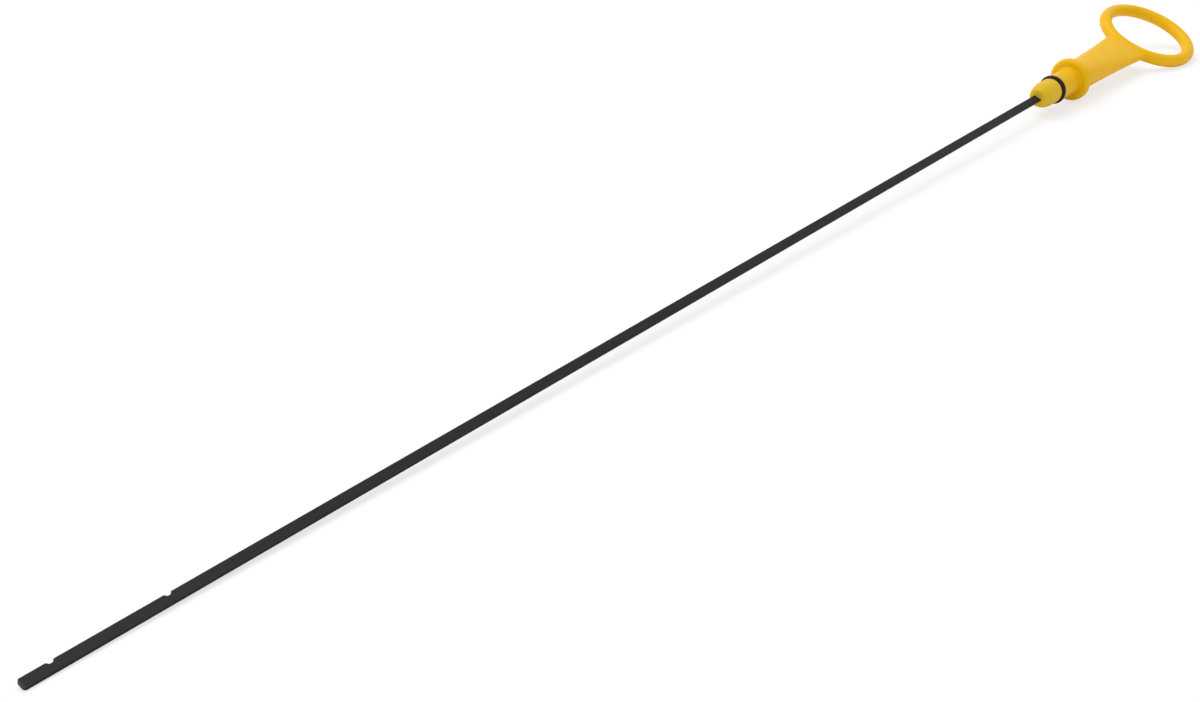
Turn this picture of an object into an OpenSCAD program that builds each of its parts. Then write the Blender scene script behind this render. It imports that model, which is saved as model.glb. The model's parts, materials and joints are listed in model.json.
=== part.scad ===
// Engine oil dipstick: a sprung steel blade moulded into a yellow ring handle with an O-ring seal.
// Built straight along X with the tip at -X, then laid down as it comes to rest on a flat surface.

/* [Blade] */
// Length of blade that shows between the tip and the handle's nose
blade_len = 397; // [250:1:650]
// Width of the steel strip
blade_w = 2.9; // [2.5:0.1:4]
// Thickness of the steel strip
blade_t = 0.75; // [0.5:0.05:1.1]
// Radius of the strip's rolled edges
blade_edge_r = 0.2; // [0.1:0.05:0.24]
// Radius of the tip's two corners
tip_r = 0.9; // [0.3:0.1:1.1]

/* [Level marks] */
// Distance from the tip to the middle of the low mark
low_mark = 7.5; // [4:0.5:30]
// Distance from the low mark to the full mark
mark_gap = 28.3; // [10:0.1:60]
// Depth of each notch in the blade's edge
notch_depth = 0.7; // [0.3:0.05:0.9]
// Length of each notch at the blade's edge
notch_len = 2; // [1.5:0.1:4]
// Length of each notch's floor
notch_floor = 0.8; // [0.2:0.1:1.4]

/* [Tang inside the handle] */
// Length of blade that is moulded into the handle
tang_len = 38; // [20:1:50]
// Diameter of the keying hole that the plastic fills
key_hole_d = 1.4; // [0.8:0.1:1.8]
// Distance from the keying hole to the end of the tang
key_hole_end = 5; // [3:0.5:10]

/* [Nose and seal] */
// Radius of the nose's front face
nose_front_r = 2.9; // [2.4:0.1:3.6]
// Radius of the nose behind its taper
nose_r = 4.3; // [3.8:0.1:4.4]
// Length of the nose's domed taper
nose_taper = 5.2; // [3:0.1:7]
// Radius of the nose's front edge
nose_edge_r = 0.5; // [0.2:0.1:0.8]
// Distance from the nose's front face to the O-ring's middle
o_ring_x = 10.5; // [8:0.1:13]
// Outer diameter of the O-ring as it sits in its groove
o_ring_od = 9.9; // [9.4:0.1:10.6]
// Section diameter of the O-ring
o_ring_section = 1.8; // [1.4:0.1:2]
// Width of the O-ring's groove
groove_w = 2.2; // [2.1:0.1:2.8]
// Radial clearance between the O-ring and its groove's floor
seat_gap = 0.02; // [0.01:0.01:0.1]
// Radius of the spigot that fills the tube's mouth
spigot_r = 4.5; // [4.1:0.1:4.7]

/* [Collar] */
// Distance from the nose's front face to the collar's front face
collar_x = 21.8; // [18:0.1:30]
// Diameter of the collar that seats on the tube
collar_d = 14.7; // [13:0.1:18]
// Thickness of the collar
collar_t = 3.2; // [2:0.1:5]
// Radius of the collar's rounded rim
collar_rim_r = 1.4; // [0.4:0.1:1.6]

/* [Neck] */
// Radius of the neck where it leaves the collar
neck_r = 5.4; // [4.8:0.1:6]
// Width of the neck where it meets the ring
neck_end_w = 16.8; // [12:0.1:18]
// Thickness of the neck where it meets the ring
neck_end_t = 3.6; // [2.6:0.1:4]
// How far the neck's edges flare at the ring, on each side
neck_flare = 0.5; // [0:0.1:1]

/* [Finger ring] */
// Distance from the nose's front face to the middle of the ring
ring_x = 82; // [72:0.5:110]
// Diameter of the hole for the finger
ring_hole_d = 27.4; // [24:0.2:34]
// Diameter of the ring's round bar
ring_bar_d = 4.4; // [4.2:0.1:6]

/* [Hidden] */
$fn = 96;
// Overlap that makes two solids one
bite = 0.5;
// Thickness of the slices that the neck is lofted between
slice = 0.02;
// Number of lofts along the neck
neck_steps = 6;
collar_r = collar_d / 2;
collar_back = collar_x + collar_t;
rim_r = min(collar_rim_r, 0.45 * collar_t);
o_ring_mean_r = (o_ring_od - o_ring_section) / 2;
groove_floor_r = o_ring_mean_r - o_ring_section / 2 - seat_gap;
groove_front = o_ring_x - groove_w / 2;
groove_back = o_ring_x + groove_w / 2;
ring_bar_r = ring_bar_d / 2;
ring_mean_r = ring_hole_d / 2 + ring_bar_r;
neck_start = collar_back - bite;
neck_stop = ring_x - sqrt(pow(ring_mean_r, 2) - pow(neck_end_w / 2, 2)) + bite;
// The dome of the nose is an arc that meets its straight part square on
dome_r = (pow(nose_taper, 2) + pow(nose_r - nose_front_r, 2)) / (2 * (nose_r - nose_front_r));

// Height of the blade's axis above the floor at the tip, for a stick rolled by this much
function tip_h(roll) =
    (blade_w / 2 - blade_edge_r) * sin(roll) + (blade_t / 2 - blade_edge_r) * cos(roll) + blade_edge_r;
// Pitch at which the tip and the collar's rim both touch the floor
function rest_pitch(roll) =
    asin((collar_r - tip_h(roll)) / (blade_len + collar_x + collar_t / 2));
// Height of the ring's middle above the floor
function ring_h(roll) = tip_h(roll) + (blade_len + ring_x) * sin(rest_pitch(roll));
// Roll at which the side of the ring touches the floor too
function rest_roll(roll) =
    let (lean = (ring_h(roll) - ring_bar_r) / ring_mean_r)
    acos(sqrt(1 - lean * lean) / cos(rest_pitch(roll)));
// The tip's height depends a little on the roll, so the roll is worked out again from itself
function settled_roll(turns, roll) = turns == 0 ? roll : settled_roll(turns - 1, rest_roll(roll));
roll = settled_roll(5, 20);
pitch = rest_pitch(roll);
// How far the tilted ring reaches along X from its middle
ring_reach = ring_mean_r * sqrt(1 - pow(cos(roll) * sin(pitch), 2)) + ring_bar_r;
front_x = -blade_len * cos(pitch) - tip_h(roll) * sin(pitch);
back_x = ring_x * cos(pitch) + ring_reach;
rest_lift = tip_h(roll) + blade_len * sin(pitch);

// Share of the neck's change that is done at u, from 0 at the collar to 1 at the ring
function ease(u) = 1 - pow(1 - u, 1.6);
function neck_half_w(u) =
    neck_r + (neck_end_w / 2 - neck_flare - neck_r) * u + neck_flare * pow(u, 6);
function neck_half_t(u) = neck_r + (neck_end_t / 2 - neck_r) * ease(u);
function neck_x(u) = neck_start + (neck_stop - neck_start) * u;

// Laid on the floor: ring, collar and tip touch it, with the middle of the box over the origin
module at_rest() {
    translate([-(front_x + back_x) / 2, 0, rest_lift])
        rotate([0, -pitch, 0])
            rotate([roll, 0, 0])
                children();
}

// Turns a profile of distance along the stick against radius into a round solid
module turned() {
    rotate([0, 90, 0])
        rotate_extrude()
            children();
}

// Nose, spigot and collar in one turning
module plug() {
    turned() {
        difference() {
            union() {
                nose_outline();
                translate([0, o_ring_x])
                    square([spigot_r, collar_x + bite - o_ring_x]);
                collar_outline();
            }
            translate([groove_floor_r, groove_front])
                square([collar_r, groove_w]);
        }
    }
}

// Half section of the domed nose, from its front face to the groove
module nose_outline() {
    intersection() {
        union() {
            translate([0, nose_edge_r])
                square([nose_r, o_ring_x - nose_edge_r]);
            square([nose_front_r - nose_edge_r, o_ring_x]);
            translate([nose_front_r - nose_edge_r, nose_edge_r])
                circle(r = nose_edge_r);
        }
        union() {
            translate([nose_r - dome_r, nose_taper])
                circle(r = dome_r);
            translate([0, nose_taper])
                square([nose_r, o_ring_x - nose_taper]);
        }
    }
}

// Half section of the collar with its rounded rim
module collar_outline() {
    translate([0, collar_x]) {
        square([collar_r - rim_r, collar_t]);
        translate([0, rim_r])
            square([collar_r, collar_t - 2 * rim_r]);
        for (y = [rim_r, collar_t - rim_r])
            translate([collar_r - rim_r, y])
                circle(r = rim_r);
    }
}

// One thin slice of the neck, an ellipse across the stick
module neck_slice(u) {
    translate([neck_x(u), 0, 0])
        rotate([90, 0, 90])
            linear_extrude(slice)
                scale([neck_half_w(u), neck_half_t(u)])
                    circle(r = 1, $fn = 40);
}

// Neck that changes from round at the collar to a flat blade at the ring
module neck() {
    difference() {
        for (i = [0 : neck_steps - 1])
            hull() {
                neck_slice(i / neck_steps);
                neck_slice((i + 1) / neck_steps);
            }
        translate([ring_x, 0, -collar_r])
            cylinder(r = ring_mean_r, h = collar_d);
    }
}

// Round bar bent into the ring for a finger
module ring() {
    translate([ring_x, 0, 0])
        rotate_extrude()
            translate([ring_mean_r, 0])
                circle(r = ring_bar_r);
}

// Half a notch to each side of its middle, cut from the blade's +Y edge
module notch(from_tip) {
    translate([-blade_len + from_tip, blade_w / 2])
        polygon([
            [-notch_len / 2, 0],
            [-notch_floor / 2, -notch_depth],
            [notch_floor / 2, -notch_depth],
            [notch_len / 2, 0],
            [notch_len / 2, bite],
            [-notch_len / 2, bite]]);
}

// Plan of the blade: rounded tip, two notches in one edge, and the keying hole
module blade_plan() {
    difference() {
        union() {
            translate([-blade_len + tip_r, -blade_w / 2])
                square([blade_len + tang_len - tip_r, blade_w]);
            translate([-blade_len, -blade_w / 2 + tip_r])
                square([tip_r, blade_w - 2 * tip_r]);
            for (side = [-1, 1])
                translate([-blade_len + tip_r, side * (blade_w / 2 - tip_r)])
                    circle(r = tip_r);
        }
        notch(low_mark);
        notch(low_mark + mark_gap);
        translate([tang_len - key_hole_end, 0])
            circle(d = key_hole_d);
    }
}

// Section of the strip: flat faces with rolled edges
module blade_section() {
    square([blade_w - 2 * blade_edge_r, blade_t], center = true);
    square([blade_w, blade_t - 2 * blade_edge_r], center = true);
    for (y = [-1, 1], z = [-1, 1])
        translate([y * (blade_w / 2 - blade_edge_r), z * (blade_t / 2 - blade_edge_r)])
            circle(r = blade_edge_r);
}

module blade_solid() {
    intersection() {
        translate([-blade_len - bite, 0, 0])
            rotate([90, 0, 90])
                linear_extrude(blade_len + tang_len + 2 * bite)
                    blade_section();
        translate([0, 0, -blade_t])
            linear_extrude(2 * blade_t)
                blade_plan();
    }
}

module handle() {
    color("gold")
        at_rest()
            difference() {
                union() {
                    plug();
                    neck();
                    ring();
                }
                blade_solid();
            }
}

module blade() {
    color([0.2, 0.2, 0.22])
        at_rest()
            blade_solid();
}

module o_ring() {
    color([0.08, 0.08, 0.08])
        at_rest()
            turned()
                translate([o_ring_mean_r, o_ring_x])
                    circle(d = o_ring_section);
}

handle();
blade();
o_ring();
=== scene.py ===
"""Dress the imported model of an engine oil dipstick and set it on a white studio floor."""
import json
import math

import bmesh
import bpy
import numpy as np
from bpy.props import FloatProperty, FloatVectorProperty, IntProperty, PointerProperty
from mathutils import Matrix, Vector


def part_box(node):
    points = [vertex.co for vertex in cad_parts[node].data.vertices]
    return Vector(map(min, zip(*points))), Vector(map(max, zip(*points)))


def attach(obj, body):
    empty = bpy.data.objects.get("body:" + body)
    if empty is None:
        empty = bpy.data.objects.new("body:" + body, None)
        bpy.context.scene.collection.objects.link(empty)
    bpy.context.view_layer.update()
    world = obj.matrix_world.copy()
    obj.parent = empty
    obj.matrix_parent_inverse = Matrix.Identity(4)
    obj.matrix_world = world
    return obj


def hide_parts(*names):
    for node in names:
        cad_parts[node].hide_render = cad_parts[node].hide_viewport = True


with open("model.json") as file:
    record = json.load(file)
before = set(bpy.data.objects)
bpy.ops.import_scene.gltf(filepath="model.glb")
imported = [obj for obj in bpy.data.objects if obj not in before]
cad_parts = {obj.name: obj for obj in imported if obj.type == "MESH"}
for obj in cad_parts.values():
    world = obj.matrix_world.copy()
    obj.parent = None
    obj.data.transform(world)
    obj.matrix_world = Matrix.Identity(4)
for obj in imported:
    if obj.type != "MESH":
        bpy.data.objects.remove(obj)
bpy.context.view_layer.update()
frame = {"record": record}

bl_info = {
    "name": "Oil Dipstick",
    "version": (1, 0, 0),
    "blender": (4, 5, 0),
    "location": "View3D > Sidebar > Dipstick",
    "description": "Builds a yellow ring handle, a dark steel blade and a rubber seal",
    "category": "Object",
}

BODY = "root"
MM = 0.001
SEAT = next(m for m in frame["record"]["mounts"] if m["name"] == "tube_seat")
# Height of the blade's axis above the floor at the tip
TIP_AXIS_HEIGHT = 0.84 * MM
# Overlap of the neck and the collar before they are fused
NECK_BITE = 0.5 * MM
# Reach of the extra softening round each corner of the neck
RING_CORNER_REACH = 2.6 * MM
COLLAR_CORNER_REACH = 1.3 * MM
RING_CREASE_REACH = 1.6 * MM
# Number of steps between no softening and full softening
FILLET_LEVELS = 20
LAMP_PLACE = (0.1, 0.55, 1.1)
LAMP_TARGET = (0.15, 0.0, 0.0)
LAMP_SIZE = 0.9
FLOOR_HALF = 6.0
# Width in pixels that the camera's focal length is given for
PHOTO_WIDTH = 1200
SENSOR_WIDTH = 36.0


class DipstickSizes(bpy.types.PropertyGroup):
    """Sizes of the handle, measured along the stick from the nose's front face."""

    nose_front_r: FloatProperty(
        name="Nose front radius", description="Radius of the nose's front face", default=2.9 * MM, unit="LENGTH")
    nose_r: FloatProperty(
        name="Nose radius", description="Radius of the nose behind its taper", default=4.3 * MM, unit="LENGTH")
    nose_taper: FloatProperty(
        name="Nose taper", description="Length of the nose's domed taper", default=5.2 * MM, unit="LENGTH")
    nose_edge_r: FloatProperty(
        name="Nose edge radius", description="Radius of the nose's front edge", default=0.5 * MM, unit="LENGTH")
    seal_x: FloatProperty(
        name="Seal place", description="Distance to the sealing ring's middle", default=10.5 * MM, unit="LENGTH")
    seal_od: FloatProperty(
        name="Seal diameter", description="Outer diameter of the sealing ring", default=9.9 * MM, unit="LENGTH")
    seal_section: FloatProperty(
        name="Seal section", description="Diameter of the sealing ring's section", default=1.8 * MM, unit="LENGTH")
    groove_w: FloatProperty(
        name="Groove width", description="Width of the seal's groove", default=2.2 * MM, unit="LENGTH")
    seat_gap: FloatProperty(
        name="Seat gap", description="Clearance under the seal", default=0.02 * MM, unit="LENGTH")
    spigot_r: FloatProperty(
        name="Spigot radius", description="Radius of the spigot behind the seal", default=4.5 * MM, unit="LENGTH")
    collar_x: FloatProperty(
        name="Collar place", description="Distance to the collar's front face", default=21.8 * MM, unit="LENGTH")
    collar_d: FloatProperty(
        name="Collar diameter", description="Diameter of the collar", default=14.7 * MM, unit="LENGTH")
    collar_t: FloatProperty(
        name="Collar thickness", description="Thickness of the collar", default=3.2 * MM, unit="LENGTH")
    collar_rim_r: FloatProperty(
        name="Collar rim radius", description="Radius of the collar's rim", default=1.4 * MM, unit="LENGTH")
    neck_r: FloatProperty(
        name="Neck radius", description="Radius of the neck at the collar", default=5.4 * MM, unit="LENGTH")
    neck_end_w: FloatProperty(
        name="Neck end width", description="Width of the neck at the ring", default=16.8 * MM, unit="LENGTH")
    neck_end_t: FloatProperty(
        name="Neck end thickness", description="Thickness of the neck at the ring", default=3.6 * MM, unit="LENGTH")
    neck_flare: FloatProperty(
        name="Neck flare", description="Flare of the neck's edges at the ring", default=0.9 * MM, unit="LENGTH")
    ring_x: FloatProperty(
        name="Ring place", description="Distance to the middle of the finger ring", default=82 * MM, unit="LENGTH")
    ring_hole_d: FloatProperty(
        name="Ring hole", description="Diameter of the finger hole", default=27.4 * MM, unit="LENGTH")
    ring_bar_d: FloatProperty(
        name="Ring bar", description="Diameter of the ring's round bar", default=4.4 * MM, unit="LENGTH")
    skin: FloatProperty(
        name="Skin mesh", description="Grid that the moulding is fused on", default=0.28 * MM, unit="LENGTH")
    soften: IntProperty(
        name="Softening", description="Passes that round all of the moulding's corners", default=4)
    fillet: IntProperty(
        name="Fillet", description="Passes that round the neck's two ends", default=40)


class DipstickColours(bpy.types.PropertyGroup):
    """Colours of the three pieces, linear."""

    plastic: FloatVectorProperty(
        name="Plastic", description="Yellow of the moulding", subtype="COLOR", default=(0.80, 0.47, 0.004))
    plastic_deep: FloatVectorProperty(
        name="Deep plastic", description="Warmer yellow of the mottling", subtype="COLOR", default=(0.76, 0.41, 0.002))
    plastic_dull: FloatVectorProperty(
        name="Dull plastic", description="Paler yellow of the nose", subtype="COLOR", default=(0.66, 0.44, 0.02))
    steel: FloatVectorProperty(
        name="Steel", description="Blue-black of the blade", subtype="COLOR", default=(0.0060, 0.0058, 0.0082))
    steel_worn: FloatVectorProperty(
        name="Worn steel", description="Greyer streaks of the blade", subtype="COLOR", default=(0.0150, 0.0145, 0.0180))
    steel_cut: FloatVectorProperty(
        name="Cut end", description="Brown tint of the blade's cut end", subtype="COLOR", default=(0.045, 0.024, 0.014))
    rubber: FloatVectorProperty(
        name="Rubber", description="Black of the sealing ring", subtype="COLOR", default=(0.007, 0.0065, 0.007))
    rubber_dusty: FloatVectorProperty(
        name="Dusty rubber", description="Greyer bloom on the rubber", subtype="COLOR", default=(0.015, 0.014, 0.015))


class DipstickStudio(bpy.types.PropertyGroup):
    """Camera, floor and light."""

    focal_px: FloatProperty(
        name="Focal length", description="Focal length in pixels of a frame 1200 wide", default=1800.0)
    yaw: FloatProperty(
        name="Yaw", description="Camera's turn from +X towards +Y", default=math.radians(41.56), subtype="ANGLE")
    pitch: FloatProperty(
        name="Pitch", description="Camera's turn downwards", default=math.radians(26.79), subtype="ANGLE")
    roll: FloatProperty(
        name="Roll", description="Camera's turn about its own axis", default=math.radians(2.12), subtype="ANGLE")
    from_tip: FloatVectorProperty(
        name="Place", description="Camera's place from the blade's tip", unit="LENGTH",
        default=(-0.13444, -0.27028, 0.20832))
    sky: FloatProperty(name="Sky", description="Strength of the even white light", default=0.81)
    key: FloatProperty(name="Key", description="Power of the soft lamp overhead", default=7.5)
    shadow: FloatProperty(
        name="Shadow share", description="Share of the floor's look that is lit, and so shaded", default=0.35)


def stick_axes(sizes):
    """Columns are the stick's own X, Y and Z in the row's frame.

    X is opposite to the seat's axis. The roll about it is the angle whose cosine is the reach of the ring's
    middle line along Y over its radius.
    """
    along = -np.array(SEAT["axis"], float)
    along /= np.linalg.norm(along)
    bar = sizes.ring_bar_d / 2
    mean = sizes.ring_hole_d / 2 + bar
    reach = np.array(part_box("handle")[1])[1]
    roll = math.acos(min(1.0, (reach - bar) / mean))
    level = np.array([0.0, 1.0, 0.0])
    up = np.cross(along, level)
    side = math.cos(roll) * level + math.sin(roll) * up
    return np.stack([along, side, np.cross(along, side)], 1)


def nose_origin(sizes, axes):
    """Middle of the nose's front face: the seat's place less the collar's distance along the stick."""
    return np.array(SEAT["pos_m"], float) - axes[:, 0] * sizes.collar_x


def laid_down(points, sizes):
    """Places points of the stick's own frame on the floor: nose origin plus axes times coordinates."""
    axes = stick_axes(sizes)
    return points @ axes.T + nose_origin(sizes, axes)


def placed(axes, place):
    """A matrix whose first three columns are the given axes and whose last is the place."""
    matrix = Matrix.Identity(4)
    for column, axis in enumerate((*axes, place)):
        for row in range(3):
            matrix[row][column] = axis[row]
    return matrix


def arc(middle_x, middle_r, radius, start, stop, count=12):
    """Points (x, r) on a circle: middle plus radius times (cos, sin) of evenly spaced angles in degrees."""
    angle = np.radians(np.linspace(start, stop, count))
    return np.stack([middle_x + radius * np.cos(angle), middle_r + radius * np.sin(angle)], 1)


def plug_profile(sizes):
    """Half section of nose, groove, spigot and collar: arcs joined by straight lines, from pole to pole."""
    rise = sizes.nose_r - sizes.nose_front_r
    dome_r = (sizes.nose_taper ** 2 + rise ** 2) / (2 * rise)
    edge = sizes.nose_edge_r
    edge_mid = sizes.nose_r - dome_r + math.sqrt((dome_r - edge) ** 2 - (sizes.nose_taper - edge) ** 2)
    dome_start = 180 - math.degrees(math.acos((sizes.nose_taper - edge) / (dome_r - edge)))
    floor_r = sizes.seal_od / 2 - sizes.seal_section - sizes.seat_gap
    front = sizes.seal_x - sizes.groove_w / 2
    back = sizes.seal_x + sizes.groove_w / 2
    rim = sizes.collar_rim_r
    rim_mid = sizes.collar_d / 2 - rim
    collar_back = sizes.collar_x + sizes.collar_t
    return np.concatenate([
        [[0, 0]],
        arc(edge, edge_mid, edge, 180, dome_start, 8),
        arc(sizes.nose_taper, sizes.nose_r - dome_r, dome_r, dome_start, 90, 14)[1:],
        [[front, sizes.nose_r], [front, floor_r], [back, floor_r], [back, sizes.spigot_r]],
        [[sizes.collar_x, sizes.spigot_r]],
        arc(sizes.collar_x + rim, rim_mid, rim, 180, 90, 10),
        arc(collar_back - rim, rim_mid, rim, 90, 0, 10),
        [[collar_back, 0]],
    ])


def turned_grid(profile, turns=128):
    """Surface of revolution about X: (x, r cos a, r sin a) for each profile point and angle a."""
    angle = np.linspace(0, 2 * np.pi, turns, endpoint=False)
    x, r = profile[:, :1], profile[:, 1:]
    return np.stack([np.repeat(x, turns, 1), r * np.cos(angle), r * np.sin(angle)], -1)


def torus_grid(mean, bar, along=192, around=48):
    """Torus about Z: ((mean + bar cos b) cos a, (mean + bar cos b) sin a, bar sin b)."""
    a = np.linspace(0, 2 * np.pi, along, endpoint=False)[:, None]
    b = np.linspace(0, 2 * np.pi, around, endpoint=False)[None, :]
    out = mean + bar * np.cos(b)
    return np.stack([out * np.cos(a), out * np.sin(a), bar * np.sin(b) + 0 * a], -1)


def neck_grid(sizes, along=60, around=96):
    """Loft of ellipses from round at the collar to flat at the ring.

    With u from 0 to 1, half the width is the radius plus a straight share of the growth plus flare times u to
    the sixth, and half the thickness falls by 1 minus (1 - u) to the power 1.6. The end bows with the ring.
    """
    u = np.linspace(0, 1, along)[:, None]
    angle = np.linspace(0, 2 * np.pi, around, endpoint=False)[None, :]
    grow = sizes.neck_end_w / 2 - sizes.neck_flare - sizes.neck_r
    half_w = sizes.neck_r + grow * u + sizes.neck_flare * u ** 6
    half_t = sizes.neck_r + (sizes.neck_end_t / 2 - sizes.neck_r) * (1 - (1 - u) ** 1.6)
    y = half_w * np.cos(angle)
    z = half_t * np.sin(angle)
    mean = (sizes.ring_hole_d + sizes.ring_bar_d) / 2
    start = sizes.collar_x + sizes.collar_t - NECK_BITE
    stop = sizes.ring_x - np.sqrt(mean ** 2 - y[-1:] ** 2)
    return np.stack([start + (stop - start) * u, y, z], -1)


def closed_quads(rows, columns, wrap_rows):
    """Quads of a grid whose columns wrap, and whose rows wrap too where the grid is a torus."""
    i = np.arange(rows if wrap_rows else rows - 1)[:, None]
    j = np.arange(columns)[None, :]
    here, right = i * columns + j, i * columns + (j + 1) % columns
    below = ((i + 1) % rows) * columns
    return np.stack([here, right, below + (j + 1) % columns, below + j], -1).reshape(-1, 4)


def closed_shell(grid, wrap_rows=False):
    """Points, quads and triangles of a closed shell: the grid, with a fan to the middle of each open end."""
    rows, columns = grid.shape[:2]
    points = grid.reshape(-1, 3)
    quads = closed_quads(rows, columns, wrap_rows)
    fans = np.zeros((0, 3), int)
    if not wrap_rows:
        first, last = len(points), len(points) + 1
        points = np.concatenate([points, [grid[0].mean(0), grid[-1].mean(0)]])
        j = np.arange(columns)
        k = (j + 1) % columns
        base = (rows - 1) * columns
        fans = np.concatenate([
            np.stack([np.full(columns, first), k, j], 1),
            np.stack([np.full(columns, last), base + j, base + k], 1)])
    return points, quads, fans


def joined(shells):
    """Several shells as one, each one's corner numbers raised by the points before it."""
    starts = np.cumsum([0] + [len(shell[0]) for shell in shells[:-1]])
    return (
        np.concatenate([shell[0] for shell in shells]),
        np.concatenate([shell[1] + start for shell, start in zip(shells, starts)]),
        np.concatenate([shell[2] + start for shell, start in zip(shells, starts)]))


def new_object(name, points, quads, fans):
    """A mesh object at the origin, with equal points merged, faces outwards and smooth shading."""
    mesh = bpy.data.meshes.new(name)
    mesh.from_pydata(points.tolist(), [], quads.tolist() + fans.tolist())
    mesh.update()
    obj = bpy.data.objects.new(name, mesh)
    bpy.context.scene.collection.objects.link(obj)
    tidy_normals(mesh)
    return obj


def tidy_normals(mesh):
    """Merges doubles and turns every closed shell's faces outwards."""
    bm = bmesh.new()
    bm.from_mesh(mesh)
    bmesh.ops.remove_doubles(bm, verts=bm.verts, dist=1e-7)
    bmesh.ops.recalc_face_normals(bm, faces=bm.faces)
    bm.to_mesh(mesh)
    bm.free()
    mesh.polygons.foreach_set("use_smooth", [True] * len(mesh.polygons))
    mesh.update()


def apply_modifiers(obj):
    """Replaces the object's mesh by what its modifiers make of it."""
    graph = bpy.context.evaluated_depsgraph_get()
    graph.update()
    result = bpy.data.meshes.new_from_object(obj.evaluated_get(graph))
    obj.modifiers.clear()
    obj.data = result
    result.polygons.foreach_set("use_smooth", [True] * len(result.polygons))
    result.update()


def add_fillet_group(obj, sizes):
    """Marks the corners at the neck's two ends, where a soft fillet is wanted.

    In the stick's own frame, the weight is 1 within a reach of each corner and falls evenly to 0 at twice the
    reach. The corners are the circle behind the collar and the two points where the neck's edges meet the ring.
    """
    count = len(obj.data.vertices)
    flat = np.empty(count * 3)
    obj.data.vertices.foreach_get("co", flat)
    axes = stick_axes(sizes)
    own = (flat.reshape(-1, 3) - nose_origin(sizes, axes)) @ axes
    mean = (sizes.ring_hole_d + sizes.ring_bar_d) / 2
    half = sizes.neck_end_w / 2
    outer = mean + sizes.ring_bar_d / 2
    corner = np.array([sizes.ring_x - math.sqrt(outer ** 2 - half ** 2), half])
    to_ring = np.hypot(own[:, 0] - corner[0], np.abs(own[:, 1]) - corner[1])
    behind = np.hypot(
        own[:, 0] - sizes.collar_x - sizes.collar_t, np.hypot(own[:, 1], own[:, 2]) - sizes.neck_r)
    crease = np.abs(np.hypot(own[:, 0] - sizes.ring_x, own[:, 1]) - outer)
    crease = np.where(np.abs(own[:, 1]) < half, crease, to_ring)
    weight = np.maximum.reduce([
        2 - to_ring / RING_CORNER_REACH,
        2 - behind / COLLAR_CORNER_REACH,
        2 - crease / RING_CREASE_REACH]).clip(0, 1)
    group = obj.vertex_groups.new(name="fillet")
    level = np.round(weight * FILLET_LEVELS).astype(int)
    for value in range(1, FILLET_LEVELS + 1):
        group.add(np.flatnonzero(level == value).tolist(), value / FILLET_LEVELS, "REPLACE")


class Nodes:
    """Short way to add and link the nodes of one tree."""

    def __init__(self, tree):
        self.tree = tree

    def add(self, kind, **values):
        node = self.tree.nodes.new(kind)
        for key, value in values.items():
            if hasattr(node, key):
                setattr(node, key, value)
            else:
                node.inputs[key.replace("_", " ")].default_value = value
        return node

    def link(self, out, into):
        self.tree.links.new(out, into)


def new_group(name, inputs, outputs):
    """A shader node group with named sockets: lists of (name, socket type, default)."""
    tree = bpy.data.node_groups.new(name, "ShaderNodeTree")
    for label, kind, default in inputs:
        socket = tree.interface.new_socket(name=label, in_out="INPUT", socket_type=kind)
        if default is not None:
            socket.default_value = default
    for label, kind in outputs:
        tree.interface.new_socket(name=label, in_out="OUTPUT", socket_type=kind)
    nodes = Nodes(tree)
    return tree, nodes, tree.nodes.new("NodeGroupInput"), tree.nodes.new("NodeGroupOutput")


def mottle_group():
    """Soft clouds of two colours with a matching roughness and a fine height, for moulded and rubber skins."""
    tree, nodes, given, result = new_group(
        "Mottle",
        [("Colour", "NodeSocketColor", None), ("Second Colour", "NodeSocketColor", None),
         ("Cloud Scale", "NodeSocketFloat", 300.0), ("Grain Scale", "NodeSocketFloat", 2500.0),
         ("Roughness", "NodeSocketFloat", 0.4), ("Roughness Spread", "NodeSocketFloat", 0.1)],
        [("Colour", "NodeSocketColor"), ("Roughness", "NodeSocketFloat"), ("Height", "NodeSocketFloat")])
    place = nodes.add("ShaderNodeTexCoord")
    cloud = nodes.add("ShaderNodeTexNoise", Detail=4.0, Roughness=0.6)
    grain = nodes.add("ShaderNodeTexNoise", Detail=3.0, Roughness=0.55)
    blend = nodes.add("ShaderNodeMix", data_type="RGBA")
    spread = nodes.add("ShaderNodeMath", operation="MULTIPLY_ADD")
    height = nodes.add("ShaderNodeMath", operation="MULTIPLY_ADD")
    height.inputs[1].default_value = 0.35
    for noise, label in ((cloud, "Cloud Scale"), (grain, "Grain Scale")):
        nodes.link(place.outputs["Object"], noise.inputs["Vector"])
        nodes.link(given.outputs[label], noise.inputs["Scale"])
    nodes.link(cloud.outputs["Fac"], blend.inputs["Factor"])
    nodes.link(given.outputs["Colour"], blend.inputs["A"])
    nodes.link(given.outputs["Second Colour"], blend.inputs["B"])
    nodes.link(cloud.outputs["Fac"], spread.inputs[0])
    nodes.link(given.outputs["Roughness Spread"], spread.inputs[1])
    nodes.link(given.outputs["Roughness"], spread.inputs[2])
    nodes.link(grain.outputs["Fac"], height.inputs[0])
    nodes.link(cloud.outputs["Fac"], height.inputs[2])
    nodes.link(blend.outputs["Result"], result.inputs["Colour"])
    nodes.link(spread.outputs["Value"], result.inputs["Roughness"])
    nodes.link(height.outputs["Value"], result.inputs["Height"])
    return tree


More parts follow.
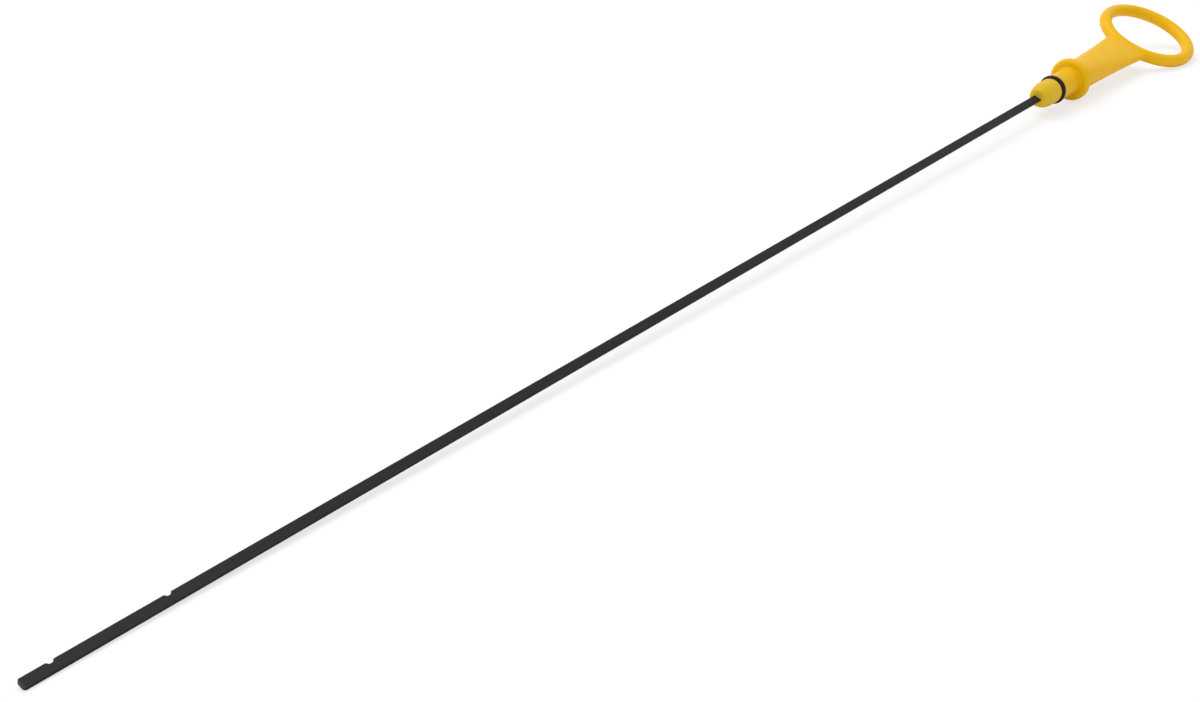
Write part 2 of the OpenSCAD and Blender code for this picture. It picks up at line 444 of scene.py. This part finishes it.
def along_group():
    """Place along the stick: 0 before the first distance, 1 after the second, read from object X."""
    tree, nodes, given, result = new_group(
        "Along",
        [("From", "NodeSocketFloat", 0.0), ("To", "NodeSocketFloat", 1.0)],
        [("Share", "NodeSocketFloat")])
    place = nodes.add("ShaderNodeTexCoord")
    split = nodes.add("ShaderNodeSeparateXYZ")
    ramp = nodes.add("ShaderNodeMapRange", interpolation_type="SMOOTHSTEP")
    nodes.link(place.outputs["Object"], split.inputs["Vector"])
    nodes.link(split.outputs["X"], ramp.inputs["Value"])
    nodes.link(given.outputs["From"], ramp.inputs["From Min"])
    nodes.link(given.outputs["To"], ramp.inputs["From Max"])
    nodes.link(ramp.outputs["Result"], result.inputs["Share"])
    return tree


def new_material(name, **shader_values):
    """An empty material with a Principled shader, whose plain values are set on its own sockets."""
    material = bpy.data.materials.new(name)
    material.use_nodes = True
    nodes = Nodes(material.node_tree)
    shader = material.node_tree.nodes["Principled BSDF"]
    for key, value in shader_values.items():
        shader.inputs[key.replace("_", " ")].default_value = value
    return material, nodes, shader


def placed_group(nodes, name, **values):
    """A group node with its own input values."""
    node = nodes.add("ShaderNodeGroup")
    node.node_tree = bpy.data.node_groups[name]
    for key, value in values.items():
        node.inputs[key.replace("_", " ")].default_value = value
    return node


def bumped(nodes, shader, height, distance, strength):
    """Feeds a height into the shader's normal."""
    bump = nodes.add("ShaderNodeBump", Distance=distance, Strength=strength)
    nodes.link(height, bump.inputs["Height"])
    nodes.link(bump.outputs["Normal"], shader.inputs["Normal"])


def rgba(colour):
    return (*colour, 1.0)


def plastic_material(colours, sizes):
    """Yellow moulded plastic, warmer in soft clouds and paler towards the nose."""
    material, nodes, shader = new_material("yellow_plastic", Specular_IOR_Level=0.12)
    skin = placed_group(
        nodes, "Mottle", Colour=rgba(colours.plastic), Second_Colour=rgba(colours.plastic_deep),
        Cloud_Scale=190.0, Grain_Scale=2600.0, Roughness=0.30, Roughness_Spread=0.16)
    ends = laid_down(np.array([[0, 0, 0], [sizes.collar_x, 0, 0]]), sizes)[:, 0]
    nose = placed_group(nodes, "Along", From=float(ends[0]), To=float(ends[1]))
    tint = nodes.add("ShaderNodeMix", data_type="RGBA")
    tint.inputs["A"].default_value = rgba(colours.plastic_dull)
    nodes.link(nose.outputs["Share"], tint.inputs["Factor"])
    nodes.link(skin.outputs["Colour"], tint.inputs["B"])
    nodes.link(tint.outputs["Result"], shader.inputs["Base Color"])
    nodes.link(skin.outputs["Roughness"], shader.inputs["Roughness"])
    bumped(nodes, shader, skin.outputs["Height"], 0.03 * MM, 0.35)
    return material


def steel_material(colours):
    """Blackened spring steel: fine streaks along the strip, greyer where rubbed, brown at the cut end."""
    material, nodes, shader = new_material("black_steel", Specular_IOR_Level=0.18)
    place = nodes.add("ShaderNodeTexCoord")
    stretch = nodes.add("ShaderNodeMapping")
    stretch.inputs["Scale"].default_value = (60.0, 2200.0, 2200.0)
    streak = nodes.add("ShaderNodeTexNoise", Scale=1.0, Detail=5.0, Roughness=0.65)
    rub = nodes.add("ShaderNodeMapRange")
    rub.inputs["From Min"].default_value = 0.35
    rub.inputs["From Max"].default_value = 0.7
    grey = nodes.add("ShaderNodeMix", data_type="RGBA")
    grey.inputs["A"].default_value = rgba(colours.steel)
    grey.inputs["B"].default_value = rgba(colours.steel_worn)
    tip = float(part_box("blade")[0][0])
    cut = placed_group(nodes, "Along", From=tip + 0.1 * MM, To=tip + 0.9 * MM)
    brown = nodes.add("ShaderNodeMix", data_type="RGBA")
    brown.inputs["A"].default_value = rgba(colours.steel_cut)
    rough = nodes.add("ShaderNodeMapRange")
    rough.inputs["To Min"].default_value = 0.38
    rough.inputs["To Max"].default_value = 0.6
    nodes.link(place.outputs["Object"], stretch.inputs["Vector"])
    nodes.link(stretch.outputs["Vector"], streak.inputs["Vector"])
    nodes.link(streak.outputs["Fac"], rub.inputs["Value"])
    nodes.link(rub.outputs["Result"], grey.inputs["Factor"])
    nodes.link(cut.outputs["Share"], brown.inputs["Factor"])
    nodes.link(grey.outputs["Result"], brown.inputs["B"])
    nodes.link(brown.outputs["Result"], shader.inputs["Base Color"])
    nodes.link(streak.outputs["Fac"], rough.inputs["Value"])
    nodes.link(rough.outputs["Result"], shader.inputs["Roughness"])
    bumped(nodes, shader, streak.outputs["Fac"], 0.02 * MM, 0.4)
    return material


def rubber_material(colours):
    """Black rubber with a faint grey bloom."""
    material, nodes, shader = new_material("black_rubber", Specular_IOR_Level=0.2)
    skin = placed_group(
        nodes, "Mottle", Colour=rgba(colours.rubber), Second_Colour=rgba(colours.rubber_dusty),
        Cloud_Scale=900.0, Grain_Scale=4000.0, Roughness=0.42, Roughness_Spread=0.2)
    nodes.link(skin.outputs["Colour"], shader.inputs["Base Color"])
    nodes.link(skin.outputs["Roughness"], shader.inputs["Roughness"])
    bumped(nodes, shader, skin.outputs["Height"], 0.02 * MM, 0.4)
    return material


def effect_groups():
    """Builds the shared node groups once."""
    for name, build in (("Mottle", mottle_group), ("Along", along_group)):
        if name not in bpy.data.node_groups:
            build()


class DIPSTICK_OT_handle(bpy.types.Operator):
    """Builds the yellow moulding: nose, spigot, collar, neck and finger ring in one skin"""

    bl_idname = "dipstick.handle"
    bl_label = "Moulded Handle"

    def execute(self, context):
        sizes = context.scene.dipstick_sizes
        bar = sizes.ring_bar_d / 2
        ring = torus_grid(sizes.ring_hole_d / 2 + bar, bar) + np.array([sizes.ring_x, 0, 0])
        shells = [
            closed_shell(turned_grid(plug_profile(sizes))),
            closed_shell(neck_grid(sizes)),
            closed_shell(ring, wrap_rows=True),
        ]
        points, quads, fans = joined(shells)
        obj = new_object("moulded_handle", laid_down(points, sizes), quads, fans)
        fuse = obj.modifiers.new("Fuse", "REMESH")
        fuse.mode = "VOXEL"
        fuse.voxel_size = sizes.skin
        apply_modifiers(obj)
        add_fillet_group(obj, sizes)
        for name, passes in (("Soften", sizes.soften), ("Fillet", sizes.fillet)):
            smooth = obj.modifiers.new(name, "SMOOTH")
            smooth.factor = 0.5
            smooth.iterations = passes
        obj.modifiers["Fillet"].vertex_group = "fillet"
        apply_modifiers(obj)
        obj.vertex_groups.clear()
        effect_groups()
        obj.data.materials.append(plastic_material(context.scene.dipstick_colours, sizes))
        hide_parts("handle")
        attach(obj, BODY)
        return {"FINISHED"}


class DIPSTICK_OT_blade(bpy.types.Operator):
    """Gives the notched steel strip its blackened finish"""

    bl_idname = "dipstick.blade"
    bl_label = "Blade Finish"

    def execute(self, context):
        effect_groups()
        obj = bpy.data.objects["blade"]
        material = steel_material(context.scene.dipstick_colours)
        if not obj.material_slots:
            obj.data.materials.append(material)
        for slot in obj.material_slots:
            slot.material = material
        return {"FINISHED"}


class DIPSTICK_OT_seal(bpy.types.Operator):
    """Builds the rubber sealing ring in its groove"""

    bl_idname = "dipstick.seal"
    bl_label = "Sealing Ring"

    def execute(self, context):
        sizes = context.scene.dipstick_sizes
        section = sizes.seal_section / 2
        ring = torus_grid(sizes.seal_od / 2 - section, section, 128, 40)
        upright = ring[..., [2, 0, 1]] + np.array([sizes.seal_x, 0, 0])
        points, quads, fans = closed_shell(upright, wrap_rows=True)
        obj = new_object("rubber_seal", laid_down(points, sizes), quads, fans)
        effect_groups()
        obj.data.materials.append(rubber_material(context.scene.dipstick_colours))
        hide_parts("o_ring")
        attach(obj, BODY)
        return {"FINISHED"}


class DIPSTICK_OT_stage(bpy.types.Operator):
    """Sets the camera, the white floor, the even sky and one soft lamp"""

    bl_idname = "dipstick.stage"
    bl_label = "Studio"

    def execute(self, context):
        studio = context.scene.dipstick_studio
        set_camera(studio)
        set_floor(studio)
        set_light(studio)
        context.scene.view_settings.view_transform = "Standard"
        return {"FINISHED"}


def set_camera(studio):
    """Camera at its place from the tip, turned by yaw, then pitch, then roll."""
    data = bpy.data.cameras.new("photo_view")
    data.sensor_width = SENSOR_WIDTH
    data.lens = studio.focal_px * data.sensor_width / PHOTO_WIDTH
    data.clip_start = 0.01
    data.clip_end = 20.0
    camera = bpy.data.objects.new("photo_view", data)
    bpy.context.scene.collection.objects.link(camera)
    yaw, pitch, roll = studio.yaw, studio.pitch, studio.roll
    forward = np.array([
        math.cos(yaw) * math.cos(pitch), math.sin(yaw) * math.cos(pitch), -math.sin(pitch)])
    right = np.cross(forward, [0, 0, 1])
    right /= np.linalg.norm(right)
    down = np.cross(forward, right)
    turned_right = math.cos(roll) * right + math.sin(roll) * down
    turned_down = math.cos(roll) * down - math.sin(roll) * right
    tip = np.array([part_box("blade")[0][0], 0.0, TIP_AXIS_HEIGHT])
    camera.matrix_world = placed(
        (turned_right, -turned_down, -forward), tip + np.array(studio.from_tip))
    bpy.context.scene.camera = camera


def set_floor(studio):
    """A white floor: for the camera it is mostly plain white, and the lit share keeps the shadow."""
    points = FLOOR_HALF * np.array([[-1.0, -1, 0], [1, -1, 0], [1, 1, 0], [-1, 1, 0]])
    floor = new_object("studio_floor", points, np.array([[0, 1, 2, 3]]), np.zeros((0, 3), int))
    material = bpy.data.materials.new("white_floor")
    material.use_nodes = True
    nodes = Nodes(material.node_tree)
    material.node_tree.nodes.clear()
    lit = nodes.add("ShaderNodeBsdfDiffuse", Color=(0.9, 0.9, 0.9, 1))
    plain = nodes.add("ShaderNodeEmission", Color=(1, 1, 1, 1), Strength=1.0)
    share = nodes.add("ShaderNodeMixShader", Fac=1 - studio.shadow)
    path = nodes.add("ShaderNodeLightPath")
    pick = nodes.add("ShaderNodeMixShader")
    out = nodes.add("ShaderNodeOutputMaterial")
    nodes.link(lit.outputs[0], share.inputs[1])
    nodes.link(plain.outputs[0], share.inputs[2])
    nodes.link(path.outputs["Is Camera Ray"], pick.inputs["Fac"])
    nodes.link(lit.outputs[0], pick.inputs[1])
    nodes.link(share.outputs[0], pick.inputs[2])
    nodes.link(pick.outputs[0], out.inputs["Surface"])
    floor.data.materials.append(material)


def set_light(studio):
    """Even white sky, white to the camera, and one broad lamp high on the left behind the stick."""
    world = bpy.data.worlds.new("studio_sky")
    bpy.context.scene.world = world
    world.use_nodes = True
    nodes = Nodes(world.node_tree)
    world.node_tree.nodes.clear()
    even = nodes.add("ShaderNodeBackground", Color=(1, 1, 1, 1), Strength=studio.sky)
    white = nodes.add("ShaderNodeBackground", Color=(1, 1, 1, 1), Strength=1.0)
    path = nodes.add("ShaderNodeLightPath")
    pick = nodes.add("ShaderNodeMixShader")
    out = nodes.add("ShaderNodeOutputWorld")
    nodes.link(path.outputs["Is Camera Ray"], pick.inputs["Fac"])
    nodes.link(even.outputs[0], pick.inputs[1])
    nodes.link(white.outputs[0], pick.inputs[2])
    nodes.link(pick.outputs[0], out.inputs["Surface"])
    data = bpy.data.lights.new("soft_key", "AREA")
    data.shape = "DISK"
    data.size = LAMP_SIZE
    data.energy = studio.key
    lamp = bpy.data.objects.new("soft_key", data)
    bpy.context.scene.collection.objects.link(lamp)
    place, target = np.array(LAMP_PLACE), np.array(LAMP_TARGET)
    back = (place - target) / np.linalg.norm(place - target)
    right = np.cross([0, 0, 1], back)
    right /= np.linalg.norm(right)
    lamp.matrix_world = placed((right, np.cross(back, right), back), place)


class DIPSTICK_PT_panel(bpy.types.Panel):
    """Lists the steps that build and dress the dipstick"""

    bl_idname = "DIPSTICK_PT_panel"
    bl_label = "Dipstick"
    bl_space_type = "VIEW_3D"
    bl_region_type = "UI"
    bl_category = "Dipstick"

    def draw(self, context):
        for operator in STEPS:
            self.layout.operator(operator.bl_idname)
        for group in ("dipstick_sizes", "dipstick_colours", "dipstick_studio"):
            box = self.layout.box()
            settings = getattr(context.scene, group)
            for key in settings.bl_rna.properties.keys():
                if key not in ("rna_type", "name"):
                    box.prop(settings, key)


STEPS = (DIPSTICK_OT_handle, DIPSTICK_OT_blade, DIPSTICK_OT_seal, DIPSTICK_OT_stage)
CLASSES = (DipstickSizes, DipstickColours, DipstickStudio, *STEPS, DIPSTICK_PT_panel)


def register():
    for cls in CLASSES:
        bpy.utils.register_class(cls)
    bpy.types.Scene.dipstick_sizes = PointerProperty(type=DipstickSizes)
    bpy.types.Scene.dipstick_colours = PointerProperty(type=DipstickColours)
    bpy.types.Scene.dipstick_studio = PointerProperty(type=DipstickStudio)


def unregister():
    del bpy.types.Scene.dipstick_studio
    del bpy.types.Scene.dipstick_colours
    del bpy.types.Scene.dipstick_sizes
    for cls in reversed(CLASSES):
        bpy.utils.unregister_class(cls)


def main():
    """Registers the add-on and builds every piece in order."""
    register()
    bpy.ops.dipstick.handle()
    bpy.ops.dipstick.blade()
    bpy.ops.dipstick.seal()
    bpy.ops.dipstick.stage()


if __name__ == "__main__":
    main()
